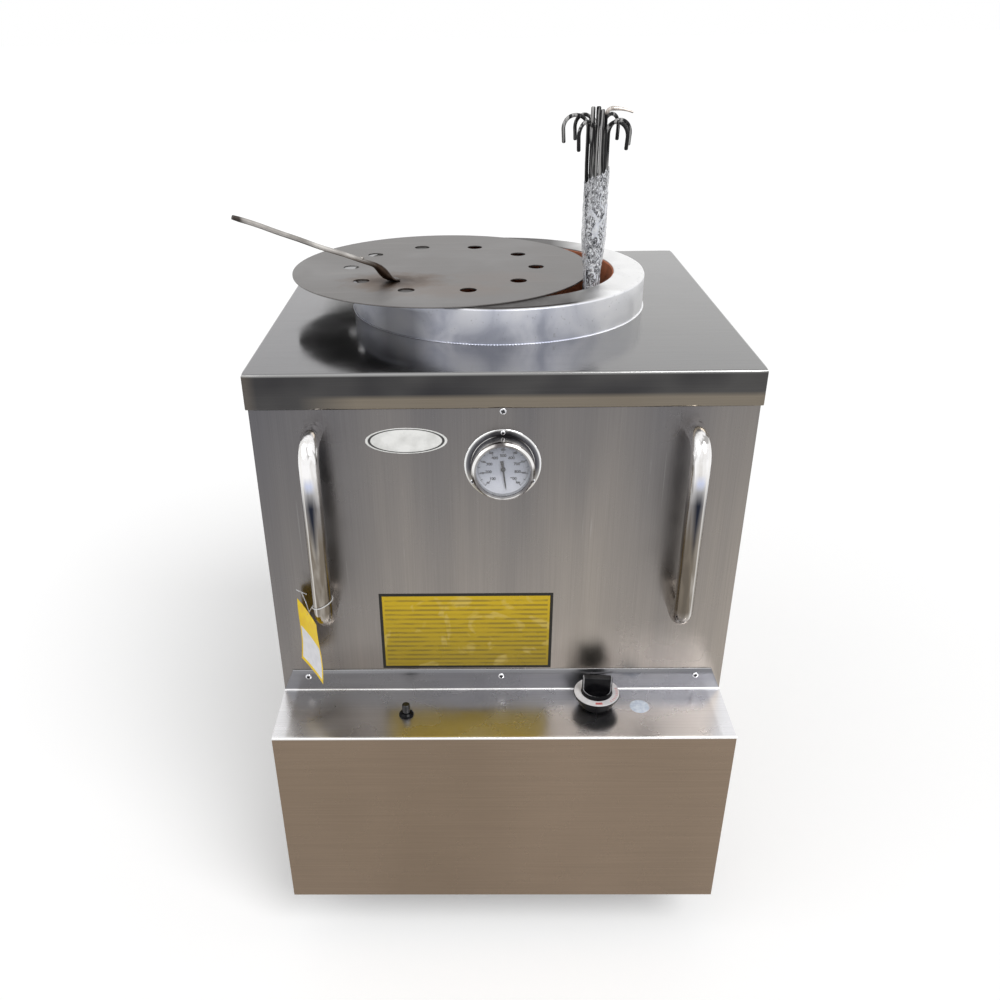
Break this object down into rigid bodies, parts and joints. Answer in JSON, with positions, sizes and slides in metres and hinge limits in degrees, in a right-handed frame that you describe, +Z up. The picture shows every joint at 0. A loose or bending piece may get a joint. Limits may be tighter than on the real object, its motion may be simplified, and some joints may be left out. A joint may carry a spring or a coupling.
{
  "type": "tandoor oven",
  "caption": "Square stainless steel gas tandoor oven on castors, with a round clay mouth, a loose vented lid, skewers, two front handles, a heat gauge and a control box.",
  "frame": {"origin": "on the floor under the middle of the whole object's box, with the rod and the control box counted in", "axes": "+Z up, the front with its control box faces -Y, +X to the viewer's right"},
  "size_m": [0.7326, 0.8544, 1.288],
  "materials": {
    "panel_steel": "satin brushed stainless steel",
    "cover_steel": "satin brushed stainless steel, mirror-like near the mouth",
    "box_steel": "brushed stainless steel with ground, polished edges",
    "frame_steel": "black painted mild steel",
    "plate_steel": "heat-darkened mild steel",
    "collar_aluminium": "dull cast finish",
    "clay": "fired terracotta",
    "mineral_wool": "packed mineral wool",
    "cast_iron": "rough cast iron",
    "brass": "machined brass",
    "pipe_steel": "black steel pipe",
    "valve_alloy": "die-cast alloy",
    "copper_tube": "bright copper",
    "black_plastic": "moulded black plastic",
    "black_nut": "black plastic",
    "black_button": "black plastic",
    "scale_print": "silver ring with red marks",
    "lead_sleeve": "silicone sleeve",
    "gauge_steel": "stainless steel",
    "gauge_chrome": "polished stainless steel",
    "dial_white": "white enamel with black scale",
    "gauge_glass": "flat glass",
    "needle_black": "black needle",
    "screw_steel": "bright stainless screws",
    "handle_steel": "polished stainless tube",
    "badge_white": "blank white oval with a dark rim",
    "label_yellow": "blank yellow sheet with a dark rim",
    "lid_steel": "worn bare mild steel",
    "rod_steel": "bare steel rod, scorched at the weld",
    "skewer_iron": "dark drawn steel",
    "clear_film": "crinkled clear film",
    "tag_card": "blank card, yellow and white",
    "tie_nylon": "clear nylon tie",
    "zinc_steel": "zinc-plated pressed steel",
    "wheel_rubber": "black rubber wheel"
  },
  "bodies": {
    "cabinet": {"front_panel": "panel_steel", "side_panel_left": "panel_steel", "side_panel_right": "panel_steel", "back_panel": "panel_steel", "base_pan": "panel_steel", "frame_rails": "frame_steel", "corner_posts": "frame_steel", "top_cover": "cover_steel", "collar_ring": "collar_aluminium", "clay_pot": "clay", "insulation": "mineral_wool", "pot_tray": "frame_steel", "burner": "cast_iron", "burner_stand": "frame_steel", "injector": "brass", "flame_deflector": "plate_steel", "gas_pipe": "pipe_steel", "gas_inlet": "brass", "gas_valve": "valve_alloy", "feed_tube": "copper_tube", "igniter_body": "black_plastic", "igniter_nut": "black_nut", "igniter_lead": "lead_sleeve", "pilot_burner": "screw_steel", "thermocouple_lead": "copper_tube", "gauge_case": "gauge_steel", "gauge_bezel": "gauge_chrome", "gauge_dial": "dial_white", "gauge_lens": "gauge_glass", "gauge_screws": "screw_steel", "handle_left": "handle_steel", "handle_right": "handle_steel", "handle_bolts": "screw_steel", "control_cover": "box_steel", "cover_ends": "box_steel", "panel_screws": "screw_steel", "blank_badge": "badge_white", "blank_label": "label_yellow", "tag_tie": "tie_nylon", "castor_plates": "zinc_steel"},
    "lid": {"lid_plate": "lid_steel", "lid_handle": "rod_steel"},
    "skewer_bundle": {"skewers": "skewer_iron", "skewer_wrap": "clear_film"},
    "valve_push": {"valve_plunger": "brass"},
    "knob": {"knob": "black_plastic", "knob_scale_ring": "scale_print", "valve_stem": "screw_steel"},
    "igniter_push": {"igniter_button": "black_button"},
    "gauge_needle": {"gauge_pointer": "needle_black"},
    "tag": {"hang_tag": "tag_card"},
    "swivel_front_left": {"castor_fork_front_left": "zinc_steel"},
    "wheel_front_left": {"castor_wheel_front_left": "wheel_rubber"},
    "swivel_front_right": {"castor_fork_front_right": "zinc_steel"},
    "wheel_front_right": {"castor_wheel_front_right": "wheel_rubber"},
    "swivel_back_left": {"castor_fork_back_left": "zinc_steel"},
    "wheel_back_left": {"castor_wheel_back_left": "wheel_rubber"},
    "swivel_back_right": {"castor_fork_back_right": "zinc_steel"},
    "wheel_back_right": {"castor_wheel_back_right": "wheel_rubber"}
  },
  "joints": [
    {"name": "lid_lift", "type": "slide", "parent": "cabinet", "child": "lid", "axis": [-0.4501, 0.2001, 0.8703], "range_m": [0, 0.45]},
    {"name": "skewers_lift", "type": "slide", "parent": "cabinet", "child": "skewer_bundle", "axis": [0, 0, 1], "range_m": [0, 0.75]},
    {"name": "knob_press", "type": "slide", "parent": "cabinet", "child": "valve_push", "axis": [0, 0, -1], "range_m": [0, 0.003], "stiffness_N_per_m": 1500, "springref_m": -0.004},
    {"name": "knob_turn", "type": "hinge", "parent": "valve_push", "child": "knob", "pos_m": [0.1588, -0.35175, 0.446], "axis": [0, 0, -1], "range_deg": [0, 270]},
    {"name": "igniter_press", "type": "slide", "parent": "cabinet", "child": "igniter_push", "axis": [0, 0, -1], "range_m": [0, 0.006], "stiffness_N_per_m": 400, "springref_m": -0.004},
    {"name": "needle_turn", "type": "hinge", "parent": "cabinet", "child": "gauge_needle", "pos_m": [0.0108, -0.32575, 0.846], "axis": [0, 1, 0], "range_deg": [0, 320], "stiffness_Nm_per_rad": 0.002, "springref_deg": -11.46},
    {"name": "tag_swing", "type": "hinge", "parent": "cabinet", "child": "tag", "pos_m": [-0.2797, -0.35525, 0.621], "axis": [-0.8434, -0.5373, 0], "range_deg": [0, 25]},
    {"name": "swivel_front_left", "type": "hinge", "parent": "cabinet", "child": "swivel_front_left", "pos_m": [-0.2672, -0.23675, 0.08], "axis": [0, 0, 1], "continuous": true},
    {"name": "roll_front_left", "type": "hinge", "parent": "swivel_front_left", "child": "wheel_front_left", "pos_m": [-0.2672, -0.20875, 0.0375], "axis": [1, 0, 0], "continuous": true},
    {"name": "swivel_front_right", "type": "hinge", "parent": "cabinet", "child": "swivel_front_right", "pos_m": [0.2888, -0.23675, 0.08], "axis": [0, 0, 1], "continuous": true},
    {"name": "roll_front_right", "type": "hinge", "parent": "swivel_front_right", "child": "wheel_front_right", "pos_m": [0.2888, -0.20875, 0.0375], "axis": [1, 0, 0], "continuous": true},
    {"name": "swivel_back_left", "type": "hinge", "parent": "cabinet", "child": "swivel_back_left", "pos_m": [-0.2672, 0.31925, 0.08], "axis": [0, 0, 1], "continuous": true},
    {"name": "roll_back_left", "type": "hinge", "parent": "swivel_back_left", "child": "wheel_back_left", "pos_m": [-0.2672, 0.34725, 0.0375], "axis": [1, 0, 0], "continuous": true},
    {"name": "swivel_back_right", "type": "hinge", "parent": "cabinet", "child": "swivel_back_right", "pos_m": [0.2888, 0.31925, 0.08], "axis": [0, 0, 1], "continuous": true},
    {"name": "roll_back_right", "type": "hinge", "parent": "swivel_back_right", "child": "wheel_back_right", "pos_m": [0.2888, 0.34725, 0.0375], "axis": [1, 0, 0], "continuous": true}
  ]
}
